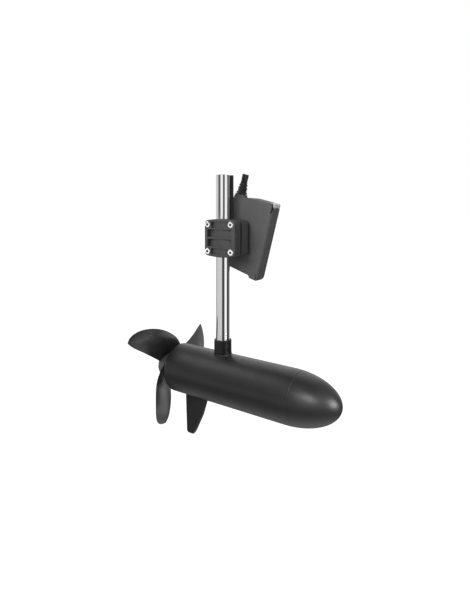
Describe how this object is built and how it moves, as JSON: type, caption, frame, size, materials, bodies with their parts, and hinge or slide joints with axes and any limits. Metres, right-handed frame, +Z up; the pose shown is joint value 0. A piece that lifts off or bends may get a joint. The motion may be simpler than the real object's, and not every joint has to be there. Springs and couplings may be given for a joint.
{
  "type": "trolling motor lower unit",
  "caption": "Lower unit of an electric trolling motor: torpedo motor with a bladed propeller on a steel tube, and a clamp that carries a tilting sonar pod.",
  "frame": {"origin": "on the axis of the steel tube, at the middle of the bored seat inside its top end, where the unit hangs from its steering head", "axes": "+X forwards along the motor from propeller to nose, +Y from the tube towards the sonar pod, +Z up along the tube"},
  "size_m": [0.3741, 0.21, 0.4936],
  "materials": {
    "body_paint": "satin charcoal powder coat",
    "stainless_polished": "polished",
    "stainless": "satin",
    "mild_steel": "zinc plated",
    "lamination_steel": "bare",
    "magnet_ferrite": "matt",
    "copper": "enamelled copper",
    "brass": "plain",
    "bronze": "oil-filled sintered bronze",
    "brush_carbon": "carbon",
    "board_laminate": "satin",
    "component_black": "satin",
    "phenolic": "satin",
    "prop_plastic": "glossy charcoal",
    "clamp_plastic": "fine texture, glass-filled",
    "pod_plastic": "satin",
    "collar_plastic": "satin",
    "black_rubber": "matt",
    "lead_jacket": "satin",
    "red_jacket": "satin",
    "acetal": "satin",
    "array_resin": "matt",
    "element_ceramic": "matt",
    "bright_aluminium": "satin"
  },
  "bodies": {
    "lower_unit": {"motor_housing": "body_paint", "nose_cone": "body_paint", "nose_o_ring": "black_rubber", "rear_bush": "bronze", "front_bush": "bronze", "shaft_seals": "black_rubber", "seal_retainer": "stainless", "through_bolts": "stainless", "flux_sleeve": "mild_steel", "field_magnets": "magnet_ferrite", "brush_plate": "phenolic", "brush_holders": "brass", "brushes": "brush_carbon", "brush_springs": "stainless", "motor_lead_positive": "red_jacket", "motor_lead_negative": "lead_jacket", "shaft_tube": "stainless_polished", "shaft_collar": "collar_plastic", "tube_o_ring": "black_rubber", "clamp_front": "clamp_plastic", "clamp_rear": "clamp_plastic", "clamp_liner_front": "black_rubber", "clamp_liner_rear": "black_rubber", "clamp_screws": "stainless", "clamp_inserts": "brass", "cable_conduit": "collar_plastic", "conduit_plug": "black_rubber", "pivot_insert": "brass", "friction_washer": "acetal", "pivot_bolt": "stainless"},
    "rotor": {"motor_shaft": "stainless", "armature_core": "lamination_steel", "armature_windings": "copper", "commutator": "copper", "thrust_washers": "acetal", "drive_pin": "stainless", "propeller": "prop_plastic", "prop_washer": "stainless", "prop_nut": "stainless"},
    "pod": {"pod_back_shell": "pod_plastic", "array_cover": "pod_plastic", "pod_gasket": "black_rubber", "pod_screws": "stainless", "corner_cap": "bright_aluminium", "circuit_board": "board_laminate", "board_components": "component_black", "transducer_elements": "element_ceramic", "array_backing": "array_resin", "cable_boot": "black_rubber", "pod_lead_left": "lead_jacket", "pod_lead_right": "lead_jacket", "lead_plug": "black_rubber", "plug_contacts": "brass"}
  },
  "joints": [
    {"name": "prop_spin", "type": "hinge", "parent": "lower_unit", "child": "rotor", "pos_m": [0, 0, -0.356], "axis": [1, 0, 0], "continuous": true},
    {"name": "pod_tilt", "type": "hinge", "parent": "lower_unit", "child": "pod", "pos_m": [0.0069, 0.0285, -0.1016], "axis": [0, 1, 0], "range_deg": [-60, 30]}
  ]
}
